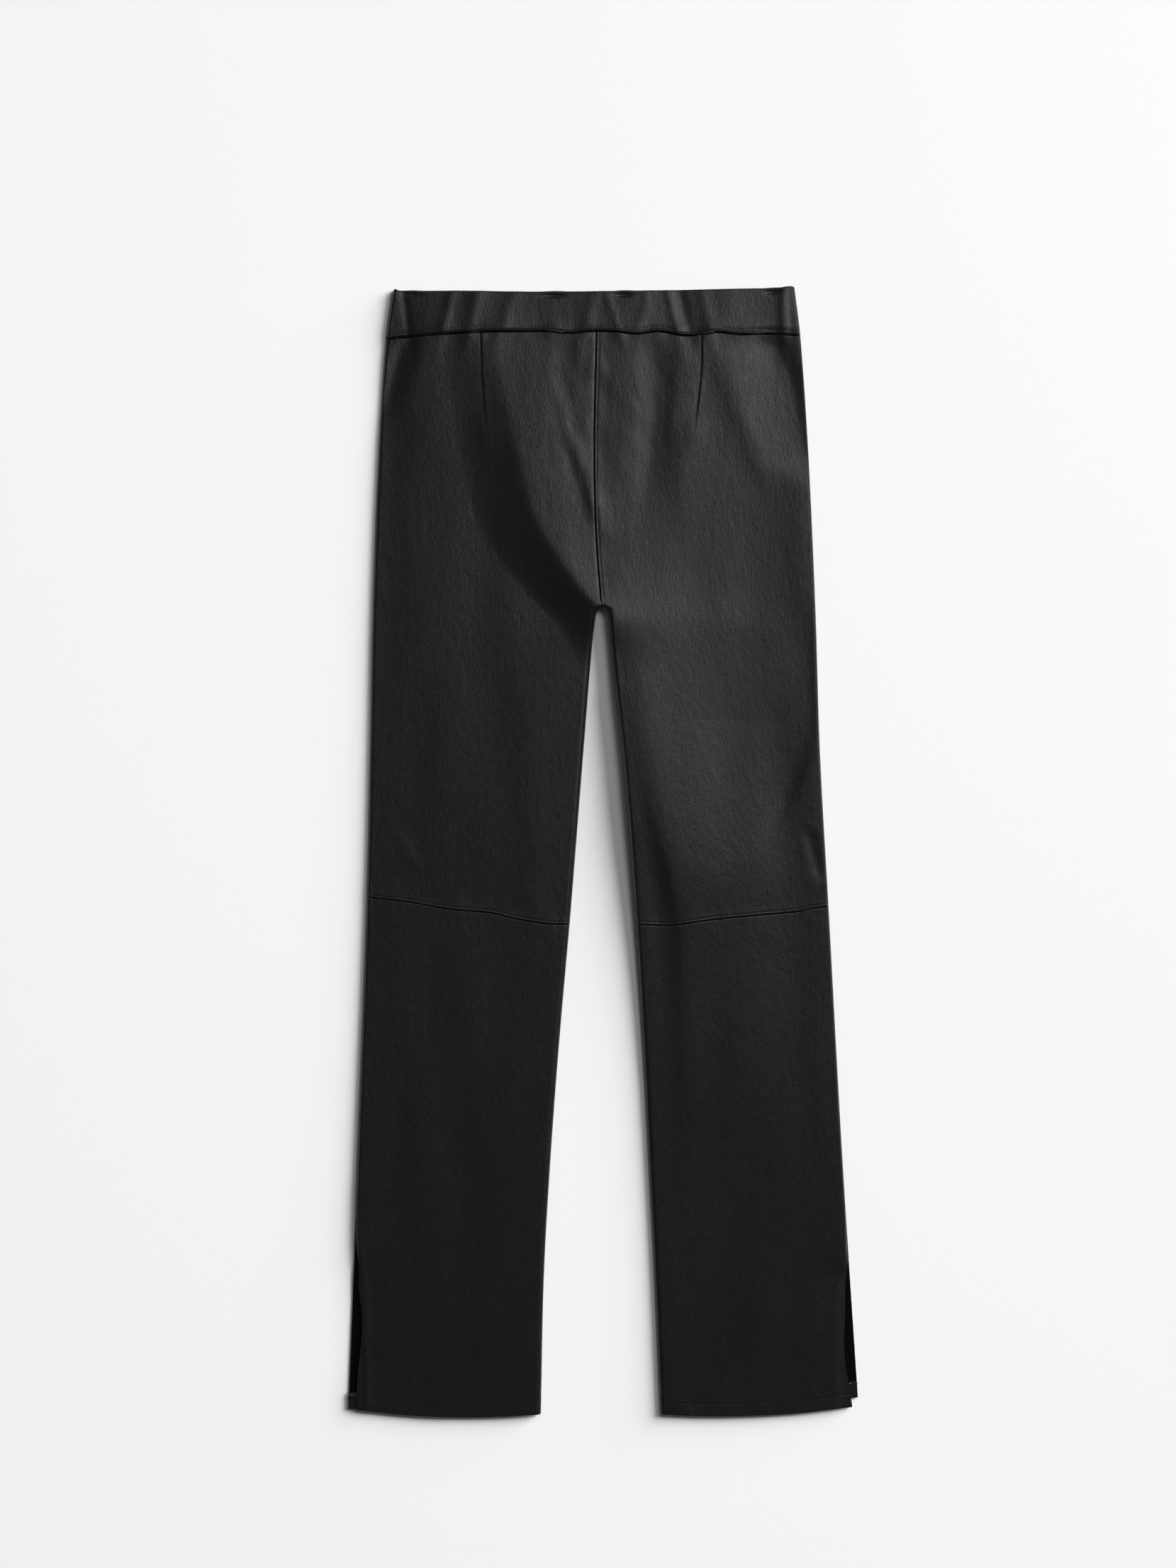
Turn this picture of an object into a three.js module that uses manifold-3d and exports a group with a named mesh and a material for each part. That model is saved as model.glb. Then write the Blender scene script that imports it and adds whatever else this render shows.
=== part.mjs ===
// Pull-on leather trousers, laid flat on a table: the front lies underneath and the back faces up.
// Millimetres, +Z up. +Y points to the waist and +X to the wearer's right.
// Every piece is cut from one skin, a tube pressed nearly flat whose edges stay soft and round.
// The pattern is drafted from the crotch point (x = 0, y = 0) and centred at the end of the file.

import * as THREE from "three";
import { mergeVertices } from "three/addons/utils/BufferGeometryUtils.js";
import Module from "manifold-3d";

const wasm = await Module();
wasm.setup();

// ---- driving dimensions ----
const leatherWall = 1.2; // stretch nappa with its bonded backing
const bandWall = 3; // leather folded round the elastic
const bandProud = 0.6; // how far the band stands out from the leather below it
const seamGap = 0.3;
const edgeRadius = 3.4; // the round of each side edge, seen from the hem
const rollWidth = 17; // how far the soft roll beside an edge reaches in
const archRadius = 5.5; // the round top of the gap between the legs
const hemTurn = 15; // depth of the turned-up hem
const slitOpening = 30; // the length over which a slit opens out
const slitFlatness = 0.88; // 1 would leave the open edges wholly flat
const kneeReach = 150; // above and below this distance a cross seam no longer bends the rows
const dart = { length: 86, mouth: 0.6 };

const black = new THREE.Color(0.022, 0.021, 0.021);
const looks = { leather: [black, 0.46], band: [black, 0.42] };

// ---- small helpers ----
const { lerp, smoothstep, clamp } = THREE.MathUtils;
const quarter = Math.PI / 2;
const range = (n) => Array.from({ length: n + 1 }, (_, i) => i / n);

// A smooth line through [position, value] points, in falling order of position.
function through(points) {
  const slope = points.map((_, i) => {
    const a = points[Math.max(i - 1, 0)];
    const b = points[Math.min(i + 1, points.length - 1)];
    return (b[1] - a[1]) / (b[0] - a[0]);
  });
  return (at) => {
    const first = points.findIndex((p) => p[0] <= at) - 1;
    const i = first === -2 ? points.length - 2 : clamp(first, 0, points.length - 2);
    const [y0, v0] = points[i];
    const [y1, v1] = points[i + 1];
    const s = (at - y0) / (y1 - y0);
    if (s < 0) return v0 + slope[i] * (at - y0);
    if (s > 1) return v1 + slope[i + 1] * (at - y1);
    const rest = 1 - s;
    return (
      v0 * (1 + 2 * s) * rest * rest +
      slope[i] * (y1 - y0) * s * rest * rest +
      v1 * s * s * (3 - 2 * s) -
      slope[i + 1] * (y1 - y0) * s * s * rest
    );
  };
}

// ---- the outline, seen from above ----
const centreSeam = through([[290, -5], [250, -4.8], [164, -6.7], [100, -6.2], [60, -4.6], [0, 0]]);

const legs = {
  left: {
    side: -1,
    outer: through([
      [294, -190], [249, -196], [137, -203], [0, -208],
      [-130, -210.5], [-274, -214], [-504, -222.5], [-734, -231.5],
    ]),
    inner: through([
      [-5.5, -5.5], [-32, -9], [-130, -17], [-274, -28.5],
      [-400, -39.5], [-504, -47.2], [-608, -53], [-734, -55.8],
    ]),
    knee: (t) => -261 - 24.5 * t,
    slitTop: -573,
    slitInset: through([[-573, 0], [-603, 4], [-649, 7.3], [-690, 7.4], [-735, 6.6]]),
    dartTop: -110.6,
    dartTip: -105.5,
    // height of the hem above the crotch point, from the outer edge (t = 0) to the inseam (t = 1)
    hem: { back: (t) => -729.7 - 23 * t + 19.1 * t * t, front: (t) => -728.8 - 12 * t + 8.5 * t * t },
  },
  right: {
    side: 1,
    outer: through([
      [294, 175.5], [249, 181], [137, 188.5], [0, 194.7],
      [-130, 198.8], [-274, 206.8], [-504, 219.5], [-734, 234.5],
    ]),
    inner: through([
      [-5.5, 5.5], [-50, 8.9], [-141, 18.6], [-274, 29.3],
      [-413, 38.6], [-504, 43.3], [-608, 48.5], [-734, 53.7],
    ]),
    knee: (t) => -269.5 - 16.5 * t,
    slitTop: -576,
    slitInset: through([[-576, 0], [-606, 3.4], [-670, 8], [-702, 7.2], [-735, 5.6]]),
    dartTop: 90.6,
    dartTip: 85,
    hem: { back: (t) => -726.4 - 27 * t + 19.5 * t * t, front: (t) => -718 - 13.5 * t },
  },
};

// The bottom and top of the waistband, across both legs.
const bandSeam = through([
  [181, 250.4], [150, 252], [60, 253.6], [0, 254.3], [-60, 254.3], [-113, 253.6], [-156, 251], [-194, 247.4],
]);
const bandTop = through([[174, 295], [129, 293], [65, 291.6], [-50, 290.2], [-120, 291], [-190, 292]]);

// ---- the relief: how thick the flattened tube is, and its largest folds ----
// The panels lie on each other in the middle. They part at the waist, where the band is thick, at the
// hem, where four layers meet, and in the rolls beside the edges.
const middleHeight = through([
  [294, 6.3], [250, 6.2], [170, 5], [60, 4.2], [-280, 3.8], [-690, 4], [-716, 6], [-740, 6.1],
]);
const rollHeight = 6.3;
const seamHeight = 3.1;

// Each fold is a soft ridge (height > 0) or trough (height < 0) along a straight line.
const folds = [
  { from: [10, -12], to: [68, -250], width: 17, height: 2.3 },
  { from: [-84, 200], to: [-14, 40], width: 15, height: 1.2 },
  { from: [44, 235], to: [41, 92], width: 13, height: -0.9 },
  { from: [-20, -12], to: [-66, -150], width: 17, height: 1.8 },
  { from: [158, 240], to: [172, 150], width: 14, height: -0.9 },
  { from: [100, -30], to: [132, -330], width: 30, height: 1.6 },
  { from: [-128, -320], to: [-136, -560], width: 28, height: 1.4 },
];

function foldRelief(x, y) {
  let sum = 0;
  for (const { from, to, width, height } of folds) {
    const [dx, dy] = [to[0] - from[0], to[1] - from[1]];
    const along = clamp(((x - from[0]) * dx + (y - from[1]) * dy) / (dx * dx + dy * dy), 0, 1);
    const away = Math.hypot(x - from[0] - along * dx, y - from[1] - along * dy);
    sum += height * Math.exp(-((away / width) ** 2));
  }
  return sum;
}

// The gathers that the elastic pulls into the band: slanting waves that fade into the leather below.
function gathers(x, y) {
  const fade = smoothstep(y, 215, 262);
  const slant = x + 0.25 * (y - 256) * Math.sign(x);
  return fade * (0.3 * Math.sin(slant / 4.6) + 0.2 * Math.sin(slant / 7.7 + 1));
}

// ---- the skin ----
// Where the skin would turn under: at a closed seam it is the outline, and beside an open slit it is
// moved so that the wall ends flat, the back a little inside the outline and the front on it.
const opened = (leg, y) => slitFlatness * (1 - smoothstep(y, leg.slitTop - slitOpening, leg.slitTop));

function turnLine(leg, face, y) {
  const open = opened(leg, y);
  const room = edgeRadius * (1 - Math.cos(quarter * open));
  const inset = face > 0 && y < leg.slitTop ? leg.slitInset(y) : 0;
  return leg.outer(y) + leg.side * (room - inset);
}

// Distance into the leather from the gap between the legs, whose top is a half circle.
function fromGap(leg, x, y) {
  if (y > -archRadius) return Math.hypot(x, y + archRadius) - archRadius;
  return leg.side * (x - leg.inner(y));
}

function reliefAt(leg, face, x, y) {
  if (face < 0) return 0;
  const roll = (d) => Math.exp(-((Math.max(d - edgeRadius, 0) / rollWidth) ** 2));
  const outerRoll = roll(leg.side * (turnLine(leg, face, y) - x)) * (1 - 0.8 * opened(leg, y));
  const rolled = Math.max(outerRoll, roll(fromGap(leg, x, y)));
  const middle = middleHeight(y);
  return middle + (rollHeight - middle) * rolled + foldRelief(x, y) * (1 - rolled) + gathers(x, y);
}

// Height and outward normal of the skin at (x, y): face 1 is the upper side and -1 the underside.
// Across an edge the height follows a quarter ellipse, so cosines and sines of its angle stand in
// for slopes, which would be infinite at the edge itself.
function skin(leg, face, x, y) {
  const step = 0.05;
  const parts = (px, py) => [
    reliefAt(leg, face, px, py),
    leg.side * (turnLine(leg, face, py) - px),
    fromGap(leg, px, py),
  ];
  const here = parts(x, y);
  const [east, west] = [parts(x + step, y), parts(x - step, y)];
  const [north, south] = [parts(x, y + step), parts(x, y - step)];
  const slopes = here.map((_, i) => [(east[i] - west[i]) / (2 * step), (north[i] - south[i]) / (2 * step)]);
  const [cosOut, cosIn] = [1, 2].map((i) => clamp(1 - here[i] / edgeRadius, 0, 1));
  const [sinOut, sinIn] = [cosOut, cosIn].map((c) => Math.sqrt(1 - c * c));
  const full = sinOut * sinIn;
  const drop = here[0] - seamHeight;
  const z = seamHeight + (face * seamGap * (1 - full)) / 2 + drop * full;
  const tilt = [0, 1].map(
    (k) =>
      slopes[0][k] * full * full +
      (drop / edgeRadius) * (cosOut * sinIn ** 2 * slopes[1][k] + cosIn * sinOut ** 2 * slopes[2][k]),
  );
  const normal = new THREE.Vector3(-face * tilt[0], -face * tilt[1], face * full);
  return { point: new THREE.Vector3(x, y, z), normal: normal.normalize() };
}

// ---- laying a piece out on the skin ----
// A column of a piece is a stop across it: an angle round the outer edge, a share of the flat
// middle, or an angle round the inner edge.
function columns(edgeSteps, middleSteps) {
  return [
    ...range(edgeSteps).map((s) => ({ zone: "outer", s })),
    ...range(middleSteps).slice(1).map((s) => ({ zone: "middle", s })),
    ...range(edgeSteps).slice(1).map((s) => ({ zone: "inner", s })),
  ];
}

// The inner end of a row: the centre seam above the crotch, the gap's edge below it.
function innerEnd(leg, y) {
  if (y >= 0) return centreSeam(y) * smoothstep(y, 0, 12) + (leg.side * seamGap) / 2;
  if (y > -archRadius) {
    return leg.side * Math.max(Math.sqrt(archRadius ** 2 - (y + archRadius) ** 2), seamGap / 2);
  }
  return leg.inner(y);
}

function skinStop(leg, face, column, y) {
  const turn = turnLine(leg, face, y);
  const end = innerEnd(leg, y);
  const flatStart = turn - leg.side * edgeRadius;
  const flatEnd = end + leg.side * edgeRadius;
  if (column.zone === "middle") return skin(leg, face, lerp(flatStart, flatEnd, column.s), y);
  if (column.zone === "inner") {
    return skin(leg, face, end + leg.side * edgeRadius * (1 - Math.cos(quarter * (1 - column.s))), y);
  }
  const angle = lerp(quarter * opened(leg, y), quarter, column.s);
  return skin(leg, face, turn - leg.side * edgeRadius * (1 - Math.cos(angle)), y);
}

// The share of a piece's width, from the outer edge (0) to the inner one (1), at which a column stands.
const zoneShares = { outer: [0, 0.03], middle: [0.03, 0.97], inner: [0.97, 1] };
const tOf = (column) => lerp(...zoneShares[column.zone], column.s);

// Closes a grid of {outside, inside} points into one solid wall. Rows run down and columns across.
function wall(grid, flip) {
  const [rows, cols] = [grid.length, grid[0].length];
  const position = [];
  for (const layer of ["outside", "inside"]) {
    for (const row of grid) for (const p of row) position.push(...p[layer].toArray());
  }
  const at = (layer, r, c) => layer * rows * cols + r * cols + c;
  const index = [];
  const quad = (a, b, c, d) => index.push(...(flip ? [a, c, b, a, d, c] : [a, b, c, a, c, d]));
  for (let r = 0; r < rows - 1; r++) {
    for (let c = 0; c < cols - 1; c++) {
      quad(at(0, r, c), at(0, r + 1, c), at(0, r + 1, c + 1), at(0, r, c + 1));
      quad(at(1, r, c), at(1, r, c + 1), at(1, r + 1, c + 1), at(1, r + 1, c));
    }
  }
  const rim = [];
  for (let c = 0; c < cols - 1; c++) rim.push([0, c, 0, c + 1], [rows - 1, c + 1, rows - 1, c]);
  for (let r = 0; r < rows - 1; r++) rim.push([r, cols - 1, r + 1, cols - 1], [r + 1, 0, r, 0]);
  for (const [r0, c0, r1, c1] of rim) quad(at(0, r0, c0), at(0, r1, c1), at(1, r1, c1), at(1, r0, c0));
  const geometry = new THREE.BufferGeometry();
  geometry.setAttribute("position", new THREE.Float32BufferAttribute(position, 3));
  return geometry.setIndex(index);
}

// One grid point: the skin's point moved along its normal to the wall's two faces.
const walled = ({ point, normal }, high, low) => ({
  outside: point.clone().addScaledVector(normal, high),
  inside: point.clone().addScaledVector(normal, low),
});

const root = new THREE.Group();

function addPiece(name, geometry, [color, roughness]) {
  const material = new THREE.MeshStandardMaterial({ color, roughness, metalness: 0 });
  const mesh = new THREE.Mesh(geometry, material);
  mesh.name = name;
  root.add(mesh);
  return mesh;
}

// ---- thigh pieces: from the waistband seam down to the knee seam ----
// Rows are named by their height at the centre. Near the waist and the knee they bend to run along
// those seams, and beside the crotch they are level and close together.
const crotchRows = [20, 5, 2.5, 0.7, 0, -1, -2.8, -archRadius, -14];
const clearOfCrotch = 30;
const kneeLevel = -285;

function thighRows(rowStep) {
  const top = bandSeam(0) - seamGap / 2;
  const stepsAbove = Math.round((top - clearOfCrotch) / rowStep);
  const stepsBelow = Math.round((-clearOfCrotch - kneeLevel) / rowStep);
  const above = range(stepsAbove).map((s) => lerp(top, clearOfCrotch, s) - top);
  const below = range(stepsBelow).map((s) => lerp(-clearOfCrotch, kneeLevel, s) - kneeLevel);
  return [
    ...above.map((y) => ({ y, top: true })),
    ...crotchRows.map((y) => ({ y })),
    ...below.map((y) => ({ y, knee: true })),
  ];
}

function thighRowHeight(leg, row, t) {
  if (row.top) {
    const seam = bandSeam(lerp(leg.outer(250), -5, t)) - seamGap / 2;
    const depth = -row.y;
    return lerp(seam, bandSeam(0), smoothstep(depth, 0, kneeReach)) - depth;
  }
  if (row.knee) {
    const seam = leg.knee(t) + seamGap / 2;
    return lerp(seam, kneeLevel, smoothstep(row.y, 0, kneeReach)) + row.y;
  }
  return row.y;
}

function thigh(leg, face, edgeSteps, middleSteps, rowStep) {
  const grid = thighRows(rowStep).map((row) =>
    columns(edgeSteps, middleSteps).map((column) => {
      const y = thighRowHeight(leg, row, tOf(column));
      return walled(skinStop(leg, face, column, y), 0, -leatherWall);
    }),
  );
  return wall(grid, leg.side * face > 0);
}

// ---- shin pieces: from the knee seam to the hem, which turns up inside the leg ----
function shin(leg, face, edgeSteps, middleSteps, rowStep) {
  const hem = face > 0 ? leg.hem.back : leg.hem.front;
  const foldRadius = leatherWall + seamGap / 2;
  const stops = columns(edgeSteps, middleSteps);
  const rowAt = (height, place) =>
    stops.map((column) => place(skinStop(leg, face, column, height(tOf(column)))));
  const outside = (stop) => walled(stop, 0, -leatherWall);
  const turnedUp = (stop) => walled(stop, -2 * foldRadius, -2 * foldRadius + leatherWall);
  const rowsBetween = (top, bottom, count) =>
    range(count).map((s) => rowAt((t) => lerp(top(t), bottom(t), s), outside));
  const slitTop = () => leg.slitTop;
  const slitOpen = () => leg.slitTop - slitOpening;
  const grid = [
    ...rowsBetween((t) => leg.knee(t) - seamGap / 2, slitTop, Math.round(290 / rowStep)),
    ...rowsBetween(slitTop, slitOpen, 3).slice(1),
    ...rowsBetween(slitOpen, (t) => hem(t) + hemTurn, Math.round(110 / rowStep) + 1).slice(1),
  ];
  const hemLine = (t) => hem(t) + foldRadius;
  grid.push(rowAt(hemLine, outside));
  // the fold itself: a half circle from the outer skin round to the turned-up layer
  for (const s of [0.25, 0.5, 0.75]) {
    const angle = Math.PI * s;
    grid.push(
      rowAt(hemLine, ({ point, normal }) => {
        const down = new THREE.Vector3(0, -1, 0).addScaledVector(normal, normal.y).normalize();
        const centre = point.clone().addScaledVector(normal, -foldRadius);
        const out = normal.clone().multiplyScalar(Math.cos(angle)).addScaledVector(down, Math.sin(angle));
        return {
          outside: centre.clone().addScaledVector(out, foldRadius),
          inside: centre.clone().addScaledVector(out, seamGap / 2),
        };
      }),
    );
  }
  grid.push(rowAt(hemLine, turnedUp), rowAt((t) => hem(t) + hemTurn, turnedUp));
  return wall(grid, leg.side * face > 0);
}

// ---- waistband: one piece across the back and one across the front ----
function waistband(face, edgeSteps, middleSteps) {
  const stops = columns(edgeSteps, middleSteps).slice(0, -edgeSteps);
  const leftHalf = stops.map((column) => ({ leg: legs.left, column }));
  const rightHalf = stops.slice(0, -1).map((column) => ({ leg: legs.right, column }));
  const across = [...leftHalf, ...rightHalf.reverse()];
  const grid = range(3).map((s) =>
    across.map(({ leg, column }) => {
      const x = lerp(leg.outer(270), 0, tOf(column));
      const y = lerp(bandTop(x), bandSeam(x) + seamGap, s);
      const stop = bandStop(leg, face, column, y);
      const proud = (bandProud * (1 + stop.normal.z)) / 2;
      return walled(stop, proud, proud - bandWall);
    }),
  );
  return wall(grid, face < 0);
}

// The band runs straight across the centre, so its flat middle reaches x = 0 with no inner edge.
function bandStop(leg, face, column, y) {
  if (column.zone === "outer") return skinStop(leg, face, column, y);
  const flatStart = turnLine(leg, face, y) - leg.side * edgeRadius;
  return skin(leg, face, lerp(flatStart, 0, column.s), y);
}

// ---- darts: sewn from the waist down, each a fine wedge taken out of the back ----
function cutDart(geometry, leg) {
  const top = bandSeam(leg.dartTop);
  const wedge = new THREE.Shape([
    new THREE.Vector2(leg.dartTop - dart.mouth / 2, top + 1),
    new THREE.Vector2(leg.dartTip, top - dart.length),
    new THREE.Vector2(leg.dartTop + dart.mouth / 2, top + 1),
  ]);
  const block = new THREE.ExtrudeGeometry(wedge, { depth: 20, bevelEnabled: false });
  return geometryOf(solidOf(geometry).subtract(solidOf(block)));
}

function solidOf(geometry) {
  const bare = geometry.clone();
  bare.deleteAttribute("normal");
  bare.deleteAttribute("uv");
  const merged = mergeVertices(bare, 1e-4);
  return new wasm.Manifold(
    new wasm.Mesh({
      numProp: 3,
      vertProperties: merged.attributes.position.array,
      triVerts: new Uint32Array(merged.index.array),
    }),
  );
}

function geometryOf(solid) {
  const { vertProperties, triVerts } = solid.getMesh();
  const geometry = new THREE.BufferGeometry();
  geometry.setAttribute("position", new THREE.BufferAttribute(vertProperties, 3));
  return geometry.setIndex(new THREE.BufferAttribute(triVerts, 1));
}

// ---- the garment ----
for (const [name, leg] of Object.entries(legs)) {
  addPiece(`back_${name}_thigh`, cutDart(thigh(leg, 1, 3, 10, 36), leg), looks.leather);
  addPiece(`back_${name}_shin`, shin(leg, 1, 3, 8, 52), looks.leather);
  addPiece(`front_${name}_thigh`, thigh(leg, -1, 3, 4, 60), looks.leather);
  addPiece(`front_${name}_shin`, shin(leg, -1, 3, 4, 100), looks.leather);
}
addPiece("waistband_back", waistband(1, 3, 20), looks.band);
addPiece("waistband_front", waistband(-1, 3, 6), looks.band);

// The origin is at the middle of the underside.
const box = new THREE.Box3().setFromObject(root);
root.position.set(-(box.min.x + box.max.x) / 2, -(box.min.y + box.max.y) / 2, -box.min.z);

export default root;
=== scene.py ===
import bpy
import numpy as np
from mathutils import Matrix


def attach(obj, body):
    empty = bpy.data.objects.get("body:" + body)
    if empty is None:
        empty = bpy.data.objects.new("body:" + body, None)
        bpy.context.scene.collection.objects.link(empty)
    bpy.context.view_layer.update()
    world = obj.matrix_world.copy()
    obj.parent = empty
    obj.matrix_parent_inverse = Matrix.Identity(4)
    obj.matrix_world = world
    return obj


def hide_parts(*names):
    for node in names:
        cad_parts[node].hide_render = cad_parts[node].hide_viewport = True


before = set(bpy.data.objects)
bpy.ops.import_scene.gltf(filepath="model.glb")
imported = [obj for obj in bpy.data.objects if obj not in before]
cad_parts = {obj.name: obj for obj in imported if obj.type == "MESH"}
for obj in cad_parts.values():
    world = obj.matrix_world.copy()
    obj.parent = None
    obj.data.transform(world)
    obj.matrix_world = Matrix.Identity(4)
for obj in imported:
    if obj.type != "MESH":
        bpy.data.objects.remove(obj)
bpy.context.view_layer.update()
print("frame loaded")

mm = 0.001
back, front = 1, -1  # the face that shows, and the one on the table
faceName = {back: "back", front: "front"}
rightAngle = np.pi / 2


def smoothStep(value, low, high):
    # 0 below low, 1 above high, and 3s^2 - 2s^3 of the share s between them
    share = np.clip((value - low) / (high - low), 0, 1)
    return share * share * (3 - 2 * share)


def between(y, ends):
    # 1 between the inner two of four falling heights, and smoothly down to 0 at the outer two
    high0, high1, low0, low1 = ends
    return (1 - smoothStep(y, high0, high1)) * smoothStep(y, low0, low1)


def smoothLine(points):
    # cubic pieces through (place, value) points, with the slope at each point taken between its neighbours
    place, value = np.array(sorted(points), float).T
    slope = np.gradient(value, place)
    slope[1:-1] = (value[2:] - value[:-2]) / (place[2:] - place[:-2])

    def at(where):
        where = np.asarray(where, float)
        i = np.clip(np.searchsorted(place, where) - 1, 0, len(place) - 2)
        gap = place[i + 1] - place[i]
        share = (where - place[i]) / gap
        s = np.clip(share, 0, 1)
        inside = (
            value[i] * (1 + 2 * s) * (1 - s) ** 2
            + slope[i] * gap * s * (1 - s) ** 2
            + value[i + 1] * s * s * (3 - 2 * s)
            - slope[i + 1] * gap * s * s * (1 - s)
        )
        return inside + slope[i] * gap * np.minimum(share, 0) + slope[i + 1] * gap * np.maximum(share - 1, 0)

    return at


def stations(start, stop, coarse, fine, reach, closeTo):
    # places from start to stop, coarse apart, closing up to fine within reach of each place in closeTo: the
    # spacing is fine + (coarse - fine)(d / reach)^2 at the distance d from the nearest one
    line = np.linspace(start, stop, 6000)
    near = np.min([np.abs(line - place) for place in closeTo], axis=0) / reach
    spacing = fine + (coarse - fine) * np.clip(near, 0, 1) ** 2
    count = np.concatenate([[0], np.cumsum(np.abs(np.diff(line)) / spacing[1:])])
    return np.interp(np.linspace(0, count[-1], int(np.ceil(count[-1])) + 1), count, line)


def ripple(x, y, seed, wave, stretch=1.0, turns=28):
    # the sum of many sine waves of about one length in seeded directions, drawn out along y by stretch
    random = np.random.default_rng(seed)
    heading = random.uniform(0, 2 * np.pi, turns)
    number = 2 * np.pi / (wave * random.uniform(0.7, 1.5, turns))
    phase = random.uniform(0, 2 * np.pi, turns)
    total = np.zeros(np.broadcast(x, y).shape)
    for h, k, p in zip(heading, number, phase):
        total = total + np.sin(k * (x * np.cos(h) + y * np.sin(h) / stretch) + p)
    return total / np.sqrt(turns / 2)


# outer and inner edges and darts as (height, x), the knee seam and hems as (share across the leg, height),
# and how far the back is set in beside a slit as (height, distance)
outline = {
    "left": {
        "side": -1,
        "outer": [
            (294, -190), (249, -196), (137, -203), (0, -208), (-130, -210.5), (-274, -214),
            (-504, -222.5), (-734, -231.5),
        ],
        "inner": [
            (-5.5, -5.5), (-32, -9), (-130, -17), (-274, -28.5), (-400, -39.5), (-504, -47.2),
            (-608, -53), (-734, -55.8),
        ],
        "knee": [
            (0, -261.5), (0.21, -266), (0.4, -272.2), (0.61, -275.8), (0.73, -281), (0.89, -285.6),
            (1, -286),
        ],
        "backHem": [(0, -729.7), (0.33, -735.2), (0.6, -736.6), (0.8, -735.9), (1, -733.6)],
        "frontHem": [(0, -728.8), (0.5, -732.7), (1, -732.3)],
        "slitTop": -573,
        "slitInset": [
            (-540, 0), (-573, 1.2), (-597, 4), (-620, 5.2), (-640, 8.4), (-664, 9.4), (-690, 7.6),
            (-712, 7), (-735, 7.4),
        ],
        "dart": [(256, -110.6), (212, -109.4), (165, -105.5)],
    },
    "right": {
        "side": 1,
        "outer": [
            (294, 175.5), (249, 181), (137, 188.5), (0, 194.7), (-130, 198.8), (-274, 206.8),
            (-504, 219.5), (-734, 234.5),
        ],
        "inner": [
            (-5.5, 5.5), (-50, 8.9), (-141, 18.6), (-274, 29.3), (-413, 38.6), (-504, 43.3), (-608, 48.5),
            (-734, 53.7),
        ],
        "knee": [
            (0, -269.6), (0.09, -271.7), (0.17, -274.6), (0.37, -277.8), (0.58, -281.4), (0.72, -284.7),
            (0.82, -287), (1, -286),
        ],
        "backHem": [(0, -726.4), (0.35, -733.5), (0.75, -735.7), (1, -733.9)],
        "frontHem": [(0, -718), (0.5, -725.6), (1, -731.5)],
        "slitTop": -576,
        "slitInset": [
            (-545, 0), (-578, 0.8), (-600, 2.2), (-622, 5.6), (-644, 7), (-668, 9.6), (-690, 9.2),
            (-712, 7.2), (-727, 5.6),
        ],
        "dart": [(256, 90.6), (220, 90.4), (167, 84.8)],
    },
}
for leg in outline.values():
    for line in ("outer", "inner", "knee", "backHem", "frontHem", "slitInset", "dart"):
        leg[line + "At"] = smoothLine(leg[line])

centreSeamAt = smoothLine([(290, -5), (250, -4.8), (164, -6.7), (100, -6.2), (60, -4.6), (0, 0)])
# the lower edge of the waistband as (x, height), drawn up a little between the gathers
bandSeamAt = smoothLine([
    (-194, 247.4), (-156, 251), (-113, 253.6), (-79, 254.3), (-48, 254.3), (-30, 252.7), (-11, 254.3),
    (10, 254.3), (32, 252), (51, 254.3), (76, 250.6), (103, 253.6), (125, 251.4), (150, 252), (181, 250.4),
])
bandTopAt = smoothLine([
    (-190, 292.8), (-184, 292.6), (-176, 291.2), (-120, 291), (-50, 290.2), (65, 291.6), (129, 293),
    (158, 293.6), (166, 294.9), (174, 295),
])

cut = {
    "leather": 1.2,  # thickness
    "seamGap": 0.3,
    "outerRound": 2.7,  # how far in the round of a side seam's edge reaches
    "innerRound": 5.0,  # and of an inseam's edge
    "seamHeight": 2.4,  # of the side seams and inseams above the table
    "roundSteps": 15,  # columns over the round of an edge
    "roundShare": 0.03,  # share of a row that each round is counted as
    "gapRound": 5.5,  # the top of the gap between the legs
    "gapJoin": 12,  # how far above the gap the panels' edges reach the centre seam's own line
    "slitOpening": 34,  # the length over which a slit opens
    "slitFlatness": 0.9,  # 1 would leave the open edges wholly flat
    "hemTurn": 15,
    "hemRow": 12,  # from the hem's edge up to its row of stitches
    "bandWall": 3.0,
    "turnSteps": 8,  # rows over a turned edge
    "tuck": 1.45,  # how far below its neighbour the hidden edge of a lapped seam lies
    "tuckReach": 4.0,  # how far that edge goes on under it
    "tuckStart": (2, 16),  # the heights over which the centre seam's hidden edge comes in
    "tuckFall": 0.8,  # how fast the leather beside a tucked edge rises to its own height
    "curveRoom": 0.004,  # metres that a panel's curves add to its width and its length when it is flat
}

# the pattern's middle comes to the frame's middle
bandCorner = 174  # x of the waistband's highest corner
widest = [leg["outerAt"](leg["frontHem"][0][1]) for leg in outline.values()]
longest = [min(h for _, h in leg["backHem"]) for leg in outline.values()]
patternMiddle = np.array([sum(widest) / 2, (bandTopAt(bandCorner) + min(longest)) / 2, 0])


def toFrame(points):
    # from the pattern in millimetres to the frame in metres
    return (points - patternMiddle) * mm


def opened(leg, y):
    # how far the slit is open at a height: 0 at its top, rising smoothly to the slit's flatness
    return cut["slitFlatness"] * (1 - smoothStep(y, leg["slitTop"] - cut["slitOpening"], leg["slitTop"]))


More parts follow.
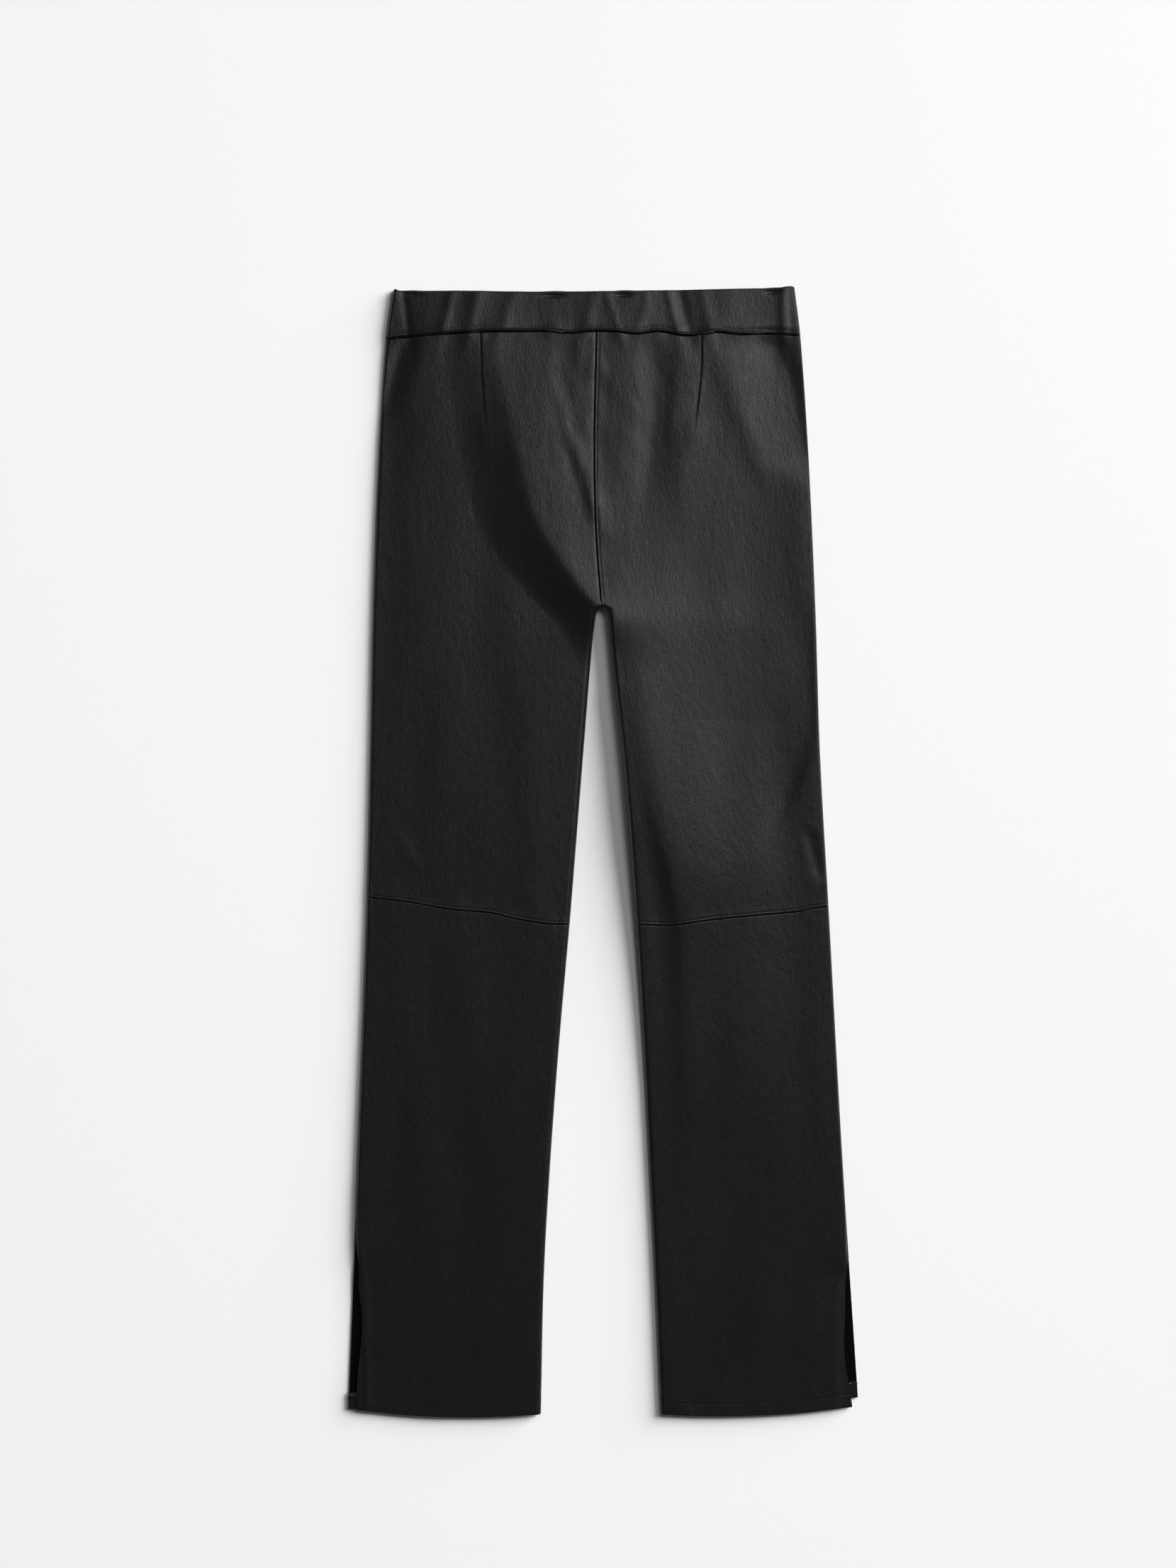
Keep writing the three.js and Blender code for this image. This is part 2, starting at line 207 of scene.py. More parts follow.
def turnLine(leg, face, y):
    # the edge line, set in on the back beside a slit, and moved out by the edge's round times 1 - cos of the
    # opening's angle where the slit is open, so that the leather ends flat on it
    edge = leg["outerAt"](y)
    if face == back:
        edge = edge - leg["side"] * np.maximum(leg["slitInsetAt"](y), 0) * (y < leg["slitInset"][0][0])
    return edge + leg["side"] * cut["outerRound"] * (1 - np.cos(rightAngle * opened(leg, y)))


def fromGap(leg, x, y):
    # distance into the leather from the gap between the legs, whose top is half a circle
    radius = cut["gapRound"]
    return np.where(y > -radius, np.hypot(x, y + radius) - radius, leg["side"] * (x - leg["innerAt"](y)))


def innerEnd(leg, y):
    # the centre seam above the crotch, the round of the gap, then the inseam
    radius, side = cut["gapRound"], leg["side"]
    # the left panel goes under the right one
    under = cut["tuckReach"] * smoothStep(y, *cut["tuckStart"]) * (side < 0)
    seam = centreSeamAt(y) * smoothStep(y, 0, cut["gapJoin"]) + side * cut["seamGap"] / 2 + under
    circle = np.sqrt(np.maximum(radius**2 - (y + radius) ** 2, 0))
    archEdge = side * np.maximum(circle, cut["seamGap"] / 2)
    return np.where(y >= 0, seam, np.where(y > -radius, archEdge, leg["innerAt"](y)))


# Each fold is a soft ridge or trough along a line of (height, x), with its own fall to left and right. A ramp
# falls straight away from its line, like leather that hangs off a raised edge. The ends are the heights where
# a fold fades out, above and below.
folds = [
    # the main fold runs down from the left dart, over the crotch and along the inside of the right leg, steep
    # on its left and gentle on its right
    {
        "path": [
            (256, -100), (190, -86), (129, -72), (78, -57), (45, -37), (16, -16), (-10, 6), (-41, 14),
            (-114, 27), (-166, 41), (-220, 57), (-255, 66), (-300, 73), (-480, 76),
        ],
        "ramp": ([(256, 40), (100, 50), (0, 45), (-60, 26)], [(256, 240), (100, 230), (0, 180), (-100, 135)]),
        "height": [
            (262, 0.5), (245, 1.8), (200, 4), (129, 6.6), (60, 8.5), (0, 9.9), (-60, 10.8), (-120, 11.4),
            (-230, 10), (-290, 6.5), (-360, 3.6), (-480, 1.4),
        ],
        "ends": (300, 320, -560, -420),
    },
    {
        "path": [(-20, -24), (-274, -48), (-504, -64), (-700, -72)],
        "fall": (75, 40),
        "height": [(-20, 2.3), (-200, 2.1), (-300, 1.4), (-500, 1.1), (-700, 1.1)],
        "ends": (-60, 60, -760, -640),
    },
    {"path": [(-340, 196), (-700, 206)], "fall": (90, 16), "height": 1.2, "ends": (-400, -300, -760, -640)},
    {"path": [(262, -182), (150, -188)], "fall": (10, 60), "height": 0.8, "ends": (262, 276, 110, 170)},
    {
        "path": [(245, 43), (197, 49), (110, 41)],
        "fall": (13, 14), "height": -1.2, "ends": (225, 262, 60, 150),
    },
    {
        "path": [(245, 74), (178, 70), (120, 76), (20, 84)],
        "fall": (14, 26), "height": 1.0, "ends": (225, 262, 20, 150),
    },
    {"path": [(250, 4), (200, 16), (130, 24)], "fall": (14, 13), "height": 0.3, "ends": (225, 262, 90, 150)},
    {
        "path": [(250, 100), (200, 118), (120, 150)],
        "fall": (12, 16), "height": 0.8, "ends": (225, 262, 90, 150),
    },
    {
        "path": [(196, -40), (143, -24), (91, -5), (60, 2)],
        "fall": (7, 11), "height": 0.9, "ends": (150, 200, 50, 80),
    },
    {"path": [(250, -160), (180, -184)], "fall": (10, 10), "height": 0.8, "ends": (235, 262, 150, 190)},
    {
        "path": [(250, -34), (190, -32), (110, -20)],
        "fall": (10, 9), "height": -0.5, "ends": (235, 262, 70, 130),
    },
    {"path": [(-200, -190), (-238, -166)], "fall": (7, 7), "height": 0.4, "ends": (-212, -196, -242, -226)},
]
# these lie on the soft rolls beside the edges
edgeFolds = [
    {
        "path": [(262, 152), (239, 159), (207, 171), (165, 179), (136, 186)],
        "fall": (24, 12), "height": -2.4, "ends": (238, 262, 112, 142),
    },
    {"path": [(239, -182), (178, -200)], "fall": (7, 10), "height": -1.2, "ends": (238, 262, 150, 200)},
    {
        "path": [(-40, 186), (-110, 187), (-150, 176), (-190, 158)],
        "fall": (16, 9), "height": -1.2, "ends": (-40, 20, -230, -150),
    },
    {"path": [(-205, 189), (-245, 198)], "fall": (5, 6), "height": -0.8, "ends": (-210, -195, -250, -235)},
    {
        "path": [(-575, -221), (-640, -216), (-735, -214)],
        "fall": (3, 5), "height": 0.5, "ends": (-590, -570, -760, -745),
    },
    {
        "path": [(-590, 219), (-660, 214), (-735, 214)],
        "fall": (7, 3), "height": 0.6, "ends": (-600, -580, -760, -745),
    },
]


def lineOrValue(setting):
    # a smooth line through the points, level beyond its ends, or the same value everywhere
    if not isinstance(setting, list):
        return lambda y: setting
    line, ends = smoothLine(setting), [place for place, _ in setting]
    return lambda y: line(np.clip(y, min(ends), max(ends)))


rampRound = 7  # how softly the top of a ramp is rounded
for fold in folds + edgeFolds:
    fold["lineAt"] = smoothLine(fold["path"])
    fold["heightAt"] = lineOrValue(fold["height"])
    fold["leftAt"], fold["rightAt"] = [lineOrValue(reach) for reach in fold.get("ramp", fold.get("fall"))]

# how high the trousers lie, as lines of (height up the leg, height above the table)
lay = {
    "middle": [
        (294, 6.0), (250, 5.9), (170, 5.6), (60, 5.2), (-60, 4.9), (-280, 4.6), (-680, 4.5), (-730, 5.1),
        (-740, 5.2),
    ],
    "outerRoll": {
        "left": [(294, 5.2), (240, 3.8), (0, 3.9), (-400, 4.4), (-740, 5.8)],
        "right": [(294, 6.4), (0, 7.0), (-300, 6.6), (-740, 6.2)],
    },
    "innerRoll": {
        "left": [(20, 6.5), (-100, 6.8), (-400, 6.1), (-740, 6.0)],
        "right": [
            (20, 8), (-30, 12.2), (-80, 15.3), (-180, 15), (-250, 12), (-330, 8.4), (-430, 6), (-560, 5.2),
            (-740, 5.4),
        ],
    },
    "reach": (26, 30),  # how far the rolls reach in from the outer and the inner edge
    "rollStart": (-60, -4),  # the heights over which the inner roll comes in below the gap's top
    "slitDip": (1.2, 30),  # how deep the leather sinks beside an open slit, and how far in
    "waves": {"height": 0.2, "seed": 22, "length": 60, "stretch": 3},  # long ones all over the back
    "crinkle": {"height": 0.06, "seed": 21, "length": 15, "stretch": 2.2},
    "crinkleElsewhere": 0.15,  # its share away from the seat
    # where it is strongest, as (x, y, half width, half height)
    "seat": [(-22, 175, 42, 70), (46, 190, 26, 50)],
    "underside": {"height": 0.5, "seed": 31, "length": 55, "stretch": 2.6},
    "undersideFrom": 0.4,  # only the parts of those waves above this are pressed in
    "undersideGathers": 0.4,  # share of the back's gathers that the front shows
}
middleAt = smoothLine(lay["middle"])
for legName, leg in outline.items():
    leg["outerRollAt"] = smoothLine(lay["outerRoll"][legName])
    leg["innerRollAt"] = smoothLine(lay["innerRoll"][legName])

elastic = {
    "gathers": [  # what it pulls in, as (x at the band seam, x at the top, height, width)
        (-176, -180.5, -0.9, 4), (-146, -136, 0.8, 5), (-121, -113, 0.9, 6.5), (-91, -80, 0.85, 8),
        (-57, -60, -0.3, 9), (-15, -6, 0.6, 7), (15, 3, 0.5, 5), (34, 42, 0.4, 6), (69, 60, 0.5, 4),
        (80, 71, -0.85, 5.5), (98, 92, 0.6, 6), (118, 112, 0.7, 15), (166, 166, 1.0, 5), (178, 174, 0.5, 4),
    ],
    "dents": [(-172, 1.0, 6), (-43, 1.6, 9), (20, 1.5, 7), (156, 1.3, 6)],  # hollows as (x, depth, width)
    "dentPlace": (4, 1.8),  # how far below the band's top edge the hollows lie, and their reach up and down
    "strength": 0.85,  # share of all these heights
    "depth": 38,  # of the band, over which a gather leans
    "fade": 3,  # how fast the gathers die out below the band
}


def gatherRelief(x, y):
    # soft slanted ridges and troughs across the band, each its height times exp(-(d / width)^2), less the
    # hollows of the same form below the top edge, all fading into the leather below the band
    share = (y - bandSeamAt(x)) / elastic["depth"]
    total = 0
    for low, top, height, width in elastic["gathers"]:
        line = low + (top - low) * share
        total = total + height * np.exp(-(((x - line) / width) ** 2))
    fade = np.exp(-(np.maximum(-share, 0) ** 1.2) * elastic["fade"])
    below, reach = elastic["dentPlace"]
    topFade = np.exp(-(((bandTopAt(x) - y - below) / reach) ** 2))
    for place, depth, width in elastic["dents"]:
        total = total - depth * topFade * np.exp(-(((x - place) / width) ** 2))
    return elastic["strength"] * total * fade


def foldRelief(these, x, y):
    # each fold is its height times exp(-(d / reach)^2) of the distance d across it, or (1 - d / reach)^1.5
    # for a ramp whose top is rounded, and it fades at both ends
    total = 0
    for fold in these:
        away = x - fold["lineAt"](y)
        reach = np.where(away < 0, fold["leftAt"](y), fold["rightAt"](y))
        if "ramp" in fold:
            shape = np.maximum(1 - (np.hypot(away, rampRound) - rampRound) / reach, 0) ** 1.5
        else:
            shape = np.exp(-((away / reach) ** 2))
        total = total + fold["heightAt"](y) * between(y, fold["ends"]) * shape
    return total


dartLook = {
    "step": (0.42, 0.5, 7),  # its height, how steep it is and how far it reaches to each side
    "groove": (0.35, 0.7),  # depth and width
    "point": (0.6, 10, 16),  # height, width and length of the swell below the point
    "pointBelow": 6,
    "comesIn": (-6, 30),  # from the point up, the heights over which the dart comes in
}


def dartRelief(leg, x, y):
    # a low step along the dart, tanh of the distance across it, over a fine groove and fading towards its
    # point, where the leather swells as exp(-(dx / width)^2 - (dy / length)^2)
    tip = leg["dart"][-1][0]
    away = x - leg["dartAt"](y)
    low, high = dartLook["comesIn"]
    stepHeight, steepness, stepReach = dartLook["step"]
    grooveDepth, grooveWidth = dartLook["groove"]
    swell, wide, tall = dartLook["point"]
    step = stepHeight * np.tanh(away / steepness) * np.exp(-np.abs(away) / stepReach)
    step = step - grooveDepth * np.exp(-((away / grooveWidth) ** 2))
    point = swell * np.exp(-((away / wide) ** 2 + ((y - tip + dartLook["pointBelow"]) / tall) ** 2))
    return (smoothStep(y, tip + low, tip + high) * step + point) * (y < bandSeamAt(x))


seamLook = {
    "waves": [(0.16, 30), (0.035, 9)],  # height and length of the two waves that a seam draws up beside it
    # the seed of the waves of each seam, and how far they reach
    "puckers": {"centre": (3, 9), "waist": (5, 9), "knee": (7, 12), "hem": (11, 9), "bandFoot": (13, 7)},
    # a lapped seam's ridge, sunk stitch line and swell, as (height, distance from the edge, width)
    "lap": [(0.34, 0.8, 0.8), (-0.26, 2.1, 0.7), (0.25, 0, 5)],
    "centreStart": 14,  # how far above the crotch the centre seam comes in
    "knee": (0.8, 0.6),  # shares of the lap's height and of the waves' at the knees
    "hem": (-0.1, 0.8, 0.6),  # height and width of the stitch line, and share of the waves' height
}


def puckers(seam, along, away):
    # short waves along a seam, fading as exp(-(away / reach)^2)
    seed, reach = seamLook["puckers"][seam]
    total = 0
    for number, (height, length) in enumerate(seamLook["waves"]):
        total = total + height * ripple(along, 0 * along, seed + number, length)
    return np.exp(-((away / reach) ** 2)) * total


def lapped(away):
    # the side of a seam that is folded over and stitched down: each part is its height times
    # exp(-((away - place) / width)^2)
    return sum(height * np.exp(-(((away - place) / width) ** 2)) for height, place, width in seamLook["lap"])


def tucked(away):
    # the side of a seam that goes under: it has sunk by the tuck where the seam lies, and stays down beyond
    rising = np.exp(-((np.maximum(away, 0) / cut["tuckFall"]) ** 2))
    return -cut["tuck"] * np.where(away < 0, 1, rising)


def shareAcross(leg, x, y):
    # 0 at the outer edge of the leg and 1 at the inner one
    return np.clip((x - leg["outerAt"](y)) / (leg["innerAt"](y) - leg["outerAt"](y)), 0, 1)


def hemAt(leg, face, share):
    # height of the hem at a share of the way across
    return leg[faceName[face] + "HemAt"](share)


def seamRelief(leg, face, part, x, y):
    # the sum of what each seam does: lapped on one side of it and tucked on the other, with puckers beside it
    toCentre = leg["side"] * (x - centreSeamAt(y))
    centreSide = lapped(np.abs(toCentre)) if leg["side"] > 0 else tucked(toCentre)
    centre = (centreSide + puckers("centre", y, toCentre)) * smoothStep(y, 0, seamLook["centreStart"])
    share = shareAcross(leg, x, y)
    fromRow = y - hemAt(leg, face, share) - cut["hemRow"]
    rowHeight, rowWidth, rowPuckers = seamLook["hem"]
    hem = rowHeight * np.exp(-((fromRow / rowWidth) ** 2)) + rowPuckers * puckers("hem", x, fromRow)
    if part == "band":
        return hem
    below = bandSeamAt(x) - y
    waist = tucked(below) + puckers("waist", x, below)
    knee = y - leg["kneeAt"](share)
    kneeSide = lapped(np.abs(knee)) if part == "thigh" else tucked(-knee)
    lapShare, puckerShare = seamLook["knee"]
    knees = lapShare * kneeSide + puckerShare * puckers("knee", x, knee)
    return centre + waist * (y > 0) + knees * (y < 0) + hem


def wavesOf(kind, x, y):
    return ripple(x, y, kind["seed"], kind["length"], kind["stretch"])


def backHeight(leg, part, x, y):
    # the middle with its folds and waves, blended by exp(-(d / reach)^2) into the rolls beside the two edges,
    # plus the folds on the rolls, creases at the seat, gathers, darts and seams
    def roll(away, reach):
        return np.exp(-((np.maximum(away - cut["innerRound"], 0) / reach) ** 2))

    flat = opened(leg, y)
    fromOuter = leg["side"] * (turnLine(leg, back, y) - x)
    outerReach, innerReach = lay["reach"]
    outer = roll(fromOuter, outerReach) * (1 - flat)
    inner = roll(fromGap(leg, x, y), innerReach) * (1 - smoothStep(y, *lay["rollStart"]))
    dip, dipReach = lay["slitDip"]
    middle = middleAt(y) - dip * flat * np.exp(-((fromOuter / dipReach) ** 2))
    waves = lay["waves"]["height"] * wavesOf(lay["waves"], x, y) * (1 - np.maximum(outer, inner))
    broad = middle + foldRelief(folds, x, y) + waves
    broad = broad + (leg["outerRollAt"](y) - broad) * outer
    broad = broad + (leg["innerRollAt"](y) - broad) * inner + foldRelief(edgeFolds, x, y)
    creased = lay["crinkleElsewhere"]
    for placeX, placeY, wide, tall in lay["seat"]:
        creased = creased + np.exp(-(((x - placeX) / wide) ** 2 + ((y - placeY) / tall) ** 2))
    small = lay["crinkle"]["height"] * creased * wavesOf(lay["crinkle"], x, y)
    return broad + small + gatherRelief(x, y) + dartRelief(leg, x, y) + seamRelief(leg, back, part, x, y)


def frontHeight(leg, part, x, y):
    # the underside is flat on the table, apart from the shallow hollows that creases, seams and gathers
    # leave: the part of their relief that is above a level, and 0 below it
    creases = np.maximum(wavesOf(lay["underside"], x, y) - lay["undersideFrom"], 0)
    seams = np.maximum(-seamRelief(leg, front, part, x, y), 0)
    band = np.maximum(gatherRelief(x, y), 0)
    return lay["underside"]["height"] * creases + seams + lay["undersideGathers"] * band


hip = {
    "ends": (232, 258, 105, 160),  # the heights between which the seam rides up on the right
    "narrowing": 0.5,  # share of the edge's round that it loses there
    "angle": 0.8,  # how far round the edge the front comes up, in radians
}


def hipSeam(leg, y):
    # on the right hip the side seam rides up over a sharp edge, and the front shows beside it: 1 there, and
    # smoothly down to 0 above and below
    return between(y, hip["ends"]) * (leg["side"] > 0)


def skinHeight(leg, face, part, x, y):
    # the height falls from the relief to the seam height as a quarter ellipse across each edge, where half
    # the seam gap keeps each face off the other
    relief = backHeight(leg, part, x, y) if face == back else frontHeight(leg, part, x, y)
    outerRound = cut["outerRound"] * (1 - hip["narrowing"] * hipSeam(leg, y))
    outerShare = leg["side"] * (turnLine(leg, face, y) - x) / outerRound
    innerShare = fromGap(leg, x, y) / cut["innerRound"]
    full = np.prod([np.sqrt(1 - np.clip(1 - s, 0, 1) ** 2) for s in (outerShare, innerShare)], axis=0)
    gap = face * cut["seamGap"] * (1 - full) / 2
    return cut["seamHeight"] + gap + (relief - cut["seamHeight"]) * full


# shares of a round from its edge inwards, closest together where it meets the flat
edgeShares = np.sin(np.linspace(0, rightAngle, cut["roundSteps"]))


def layAcross(leg, face, part, yOf, middle):
    # the points of the grid: in each row the outer round, whose x is the round times 1 - cos of an angle, the
    # middle in given shares of what is left, and the inner round, all at the height of the skin
    outerRound, innerRound, side = cut["outerRound"], cut["innerRound"], leg["side"]
    roundShare = cut["roundShare"]
    outerT, innerT = roundShare * edgeShares, 1 - roundShare * edgeShares[::-1]
    t = np.concatenate([outerT, roundShare + (1 - 2 * roundShare) * middle, innerT])
    y = yOf(t[None, :])
    n = len(edgeShares)
    yOuter, yMiddle, yInner = y[:, :n], y[:, n:-n], y[:, -n:]
    start = face * hip["angle"] * hipSeam(leg, yOuter) + rightAngle * opened(leg, yOuter)
    angle = start + (rightAngle - start) * edgeShares
    outer = turnLine(leg, face, yOuter) - side * outerRound * (1 - np.cos(angle))
    flatStart = turnLine(leg, face, yMiddle) - side * outerRound
    flatEnd = innerEnd(leg, yMiddle) + side * innerRound
    across = flatStart + (flatEnd - flatStart) * middle
    angle = rightAngle * edgeShares[::-1]
    inner = innerEnd(leg, yInner) + side * innerRound * (1 - np.cos(angle))
    x = np.concatenate([outer, across, inner], axis=1)
    z = skinHeight(leg, face, part, x, y)
    if face == front:  # where the front comes up over the edge it lies on the back's curve
        over = start + (rightAngle - start) * edgeShares < 0
        z[:, :n] = np.where(over, 2 * cut["seamHeight"] - z[:, :n], z[:, :n])
    return np.stack([x, y, z], axis=-1)


def gridFaces(rows, columns, flip):
    # one quad for each cell, its corners in order round it
    at = np.arange(rows * columns).reshape(rows, columns)
    a, b, c, d = at[:-1, :-1], at[1:, :-1], at[1:, 1:], at[:-1, 1:]
    order = [a, d, c, b] if flip else [a, b, c, d]
    return np.stack([o.ravel() for o in order], axis=1)


def meshFrom(name, points, faces, materials):
    mesh = bpy.data.meshes.new(name)
    mesh.vertices.add(len(points))
    mesh.vertices.foreach_set("co", np.ascontiguousarray(points, np.float32).ravel())
    mesh.loops.add(faces.size)
    mesh.loops.foreach_set("vertex_index", faces.ravel().astype(np.int32))
    mesh.polygons.add(len(faces))
    mesh.polygons.foreach_set("loop_start", np.arange(0, faces.size, faces.shape[1], dtype=np.int32))
    mesh.update(calc_edges=True)
    mesh.validate()
    mesh.shade_smooth()
    for material in materials:
        mesh.materials.append(material)
    piece = bpy.data.objects.new(name, mesh)
    bpy.context.scene.collection.objects.link(piece)
    return piece


def normalsOf(points, face):
    # unit cross product of the two directions of the grid, on the side that the face looks to
    down, across = np.gradient(points, axis=0), np.gradient(points, axis=1)
    normal = np.cross(down, across)
    normal = normal / np.linalg.norm(normal, axis=-1, keepdims=True)
    return np.where(normal[..., 2:] * face < 0, -normal, normal)


def turnedEdge(edge, normal, radius, way):
    # a half circle from the last row of a skin round to its inner side: cos along the normal and sin along
    # the leg, upwards for a way of 1 and downwards for -1
    outward = way * (np.array([0, 1.0, 0]) - normal * normal[:, 1:2])
    outward /= np.linalg.norm(outward, axis=-1, keepdims=True)
    angle = np.linspace(0, np.pi, cut["turnSteps"] + 2)[1:-1, None, None]
    return edge - radius * normal + radius * (np.cos(angle) * normal + np.sin(angle) * outward)


def newMaterial(name):
    material = bpy.data.materials.new(name)
    material.use_nodes = True
    nodes, links = material.node_tree.nodes, material.node_tree.links
    return material, nodes, links, nodes["Principled BSDF"]


leatherLook = {
    "dark": (0.0022, 0.002, 0.0018, 1),
    "light": (0.0048, 0.0042, 0.0037, 1),
    "roughness": (0.34, 0.42),
    "drawnOut": 0.42,  # along the leg the counts below are this share of what they are across it
    "grain": (1100, 3, 0.6),  # each of these four is its count in a metre, its detail and its roughness
    "patches": (38, 4, 0.62),
    "creases": (190, 6, 0.72),
    "streaks": (520, 3, 0.6),
    "pores": 825,  # in a metre
    "glossSpread": (0.3, 0.7),  # the part of the creases that is spread over the roughness
    "creaseBump": (0.0009, 0.4),  # each of these four is a depth in metres and a strength
    "streakBump": (0.00035, 0.45),
    "poreBump": (0.00012, 0.5),
    "grainBump": (0.000192, 0.6),
    "specular": 0.83,
    "tint": (1, 0.943, 0.944, 1),
}


def makeLeather(name, look):
    # streaky grain drawn out along the leg, over soft patches of tone and gloss
    material, nodes, links, shader = newMaterial(name)
    place = nodes.new("ShaderNodeTexCoord")
    along = nodes.new("ShaderNodeMapping")
    along.inputs["Scale"].default_value = (1, look["drawnOut"], 1)
    links.new(place.outputs["Object"], along.inputs["Vector"])

    def noise(scale, detail, rough):
        node = nodes.new("ShaderNodeTexNoise")
        node.inputs["Scale"].default_value = scale
        node.inputs["Detail"].default_value = detail
        node.inputs["Roughness"].default_value = rough
        links.new(along.outputs[0], node.inputs["Vector"])
        return node.outputs["Fac"]

    grain = noise(*look["grain"])
    patch = noise(*look["patches"])
    crease = noise(*look["creases"])
    streak = noise(*look["streaks"])
    pores = nodes.new("ShaderNodeTexVoronoi")
    pores.feature = "DISTANCE_TO_EDGE"
    pores.inputs["Scale"].default_value = look["pores"]
    links.new(along.outputs[0], pores.inputs["Vector"])

    tone = nodes.new("ShaderNodeMix")
    tone.data_type = "RGBA"
    tone.inputs["A"].default_value = look["dark"]
    tone.inputs["B"].default_value = look["light"]
    links.new(patch, tone.inputs["Factor"])
    links.new(tone.outputs["Result"], shader.inputs["Base Color"])

    gloss = nodes.new("ShaderNodeMapRange")
    gloss.inputs["From Min"].default_value, gloss.inputs["From Max"].default_value = look["glossSpread"]
    gloss.inputs["To Min"].default_value, gloss.inputs["To Max"].default_value = look["roughness"]
    links.new(crease, gloss.inputs["Value"])
    links.new(gloss.outputs["Result"], shader.inputs["Roughness"])

    def bump(height, distance, strength, under=None):
        node = nodes.new("ShaderNodeBump")
        node.inputs["Distance"].default_value = distance
        node.inputs["Strength"].default_value = strength
        links.new(height, node.inputs["Height"])
        if under is not None:
            links.new(under, node.inputs["Normal"])
        return node.outputs["Normal"]

    rough = bump(crease, *look["creaseBump"])
    rough = bump(streak, *look["streakBump"], rough)
    rough = bump(pores.outputs["Distance"], *look["poreBump"], rough)
    rough = bump(grain, *look["grainBump"], rough)
    links.new(rough, shader.inputs["Normal"])
    shader.inputs["Specular IOR Level"].default_value = look["specular"]
    shader.inputs["Specular Tint"].default_value = look["tint"]
    return material


plainLooks = {  # dark and light tone, roughness, specks in a metre, depth of the nap in metres
    # the flesh side is darker than its own tone: painted shade for the shadow that the back panel casts on
    # the front's inner side beside the slits
    "fleshSidePaintedShade": ((0.0008, 0.0007, 0.0007, 1), (0.0022, 0.002, 0.0019, 1), 0.95, 900, 0.0002),
    "cutEdge": ((0.006, 0.0035, 0.0025, 1), (0.03, 0.017, 0.011, 1), 0.85, 1500, 0.0001),
    "blackThread": ((0.0012, 0.0011, 0.001, 1), (0.004, 0.0036, 0.0034, 1), 0.8, 2600, 0.0001),
    "looseThread": ((0.12, 0.11, 0.1, 1), (0.3, 0.28, 0.25, 1), 0.8, 2600, 0.0001),
}
plainDetail = 4
plainSpecular = 0.25


def makePlain(name, dark, light, roughness, size, depth):
    # mottled tone over a fine nap
    material, nodes, links, shader = newMaterial(name)
    place = nodes.new("ShaderNodeTexCoord")
    speck = nodes.new("ShaderNodeTexNoise")
    speck.inputs["Scale"].default_value = size
    speck.inputs["Detail"].default_value = plainDetail
    links.new(place.outputs["Object"], speck.inputs["Vector"])
    tone = nodes.new("ShaderNodeMix")
    tone.data_type = "RGBA"
    tone.inputs["A"].default_value = dark
    tone.inputs["B"].default_value = light
    links.new(speck.outputs["Fac"], tone.inputs["Factor"])
    links.new(tone.outputs["Result"], shader.inputs["Base Color"])
    nap = nodes.new("ShaderNodeBump")
    nap.inputs["Distance"].default_value = depth
    shader.inputs["Specular IOR Level"].default_value = plainSpecular
    links.new(speck.outputs["Fac"], nap.inputs["Height"])
    links.new(nap.outputs["Normal"], shader.inputs["Normal"])
    shader.inputs["Roughness"].default_value = roughness
    return material


leather = makeLeather("blackNappa", leatherLook)
fleshSidePaintedShade, cutEdge, thread, looseThread = [makePlain(name, *look) for name, look in plainLooks.items()]
print("materials made")


def finishSheet(piece, node):
    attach(piece, "root")
    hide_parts(node)


def thicken(piece):
    # a wall inwards from the skin, with the flesh side inside it, darkened as painted shade, and cut edges
    # all round
    wall = piece.modifiers.new("leather thickness", "SOLIDIFY")
    wall.thickness = cut["leather"] * mm
    wall.offset = -1
    wall.use_rim = True
    wall.material_offset = 1
    wall.material_offset_rim = 2


thighCut = {
    "top": 255,  # mean heights of the seams between which the rows are spaced
    "bottom": -285,
    "reach": 150,  # how far the rows keep following the seams
    "waistLevel": 250,  # where a row's ends are taken to follow the waistband
    "width": 190,  # a mean width, for the spacing of the columns
    "step": {back: 3.2, front: 6.5},
    "across": {back: 1.9, front: 4.5},
    "closeRows": (0.4, 16),  # spacing at the seams and the crotch, and how far it reaches
    "crotchRows": (0, -3),
    "closeColumns": (0.6, 12),
}


def thighColumns(leg, face):
    # shares across the leg, closing up at the dart on the back and at the edges on the front
    width, top = thighCut["width"], leg["dart"][0][0]
    outer, dartPlace = leg["outerAt"](top), leg["dart"][1][1]
    share = (dartPlace - outer) / (leg["innerAt"](0) - outer)
    closeTo = [width * share] if face == back else [0, width]
    return stations(0, width, thighCut["across"][face], *thighCut["closeColumns"], closeTo)[1:-1] / width


def thighPoints(leg, face):
    # rows follow the waistband above and the knee seam below, each blended in over the reach
    top, bottom, reach = thighCut["top"], thighCut["bottom"], thighCut["reach"]
    closeTo = [top, *thighCut["crotchRows"], bottom]
    start, stop = top + cut["tuckReach"], bottom + cut["seamGap"] / 2
    base = stations(start, stop, thighCut["step"][face], *thighCut["closeRows"], closeTo)[:, None]
    level = np.float64(thighCut["waistLevel"])
    outer, inner = leg["outerAt"](level), innerEnd(leg, level)

    def heights(t):
        atWaist = smoothStep(base, top - reach, top)
        atKnee = 1 - smoothStep(base, bottom, bottom + reach)
        waist = bandSeamAt(outer + (inner - outer) * t)
        return base + (waist - top) * atWaist + (leg["kneeAt"](t) - bottom) * atKnee

    return layAcross(leg, face, "thigh", heights, thighColumns(leg, face))


shinCut = {
    "top": -285,
    "bottom": -734,
    "kneeReach": 150,  # how far the rows keep following the knee seam
    "hemReach": 90,  # and the hem
    "width": 180,
    "step": {back: 3.6, front: 7.5},
    "across": {back: 2.0, front: 4.5},
    "closeRows": (0.45, 16),
    "closeColumns": (0.8, 10),
}


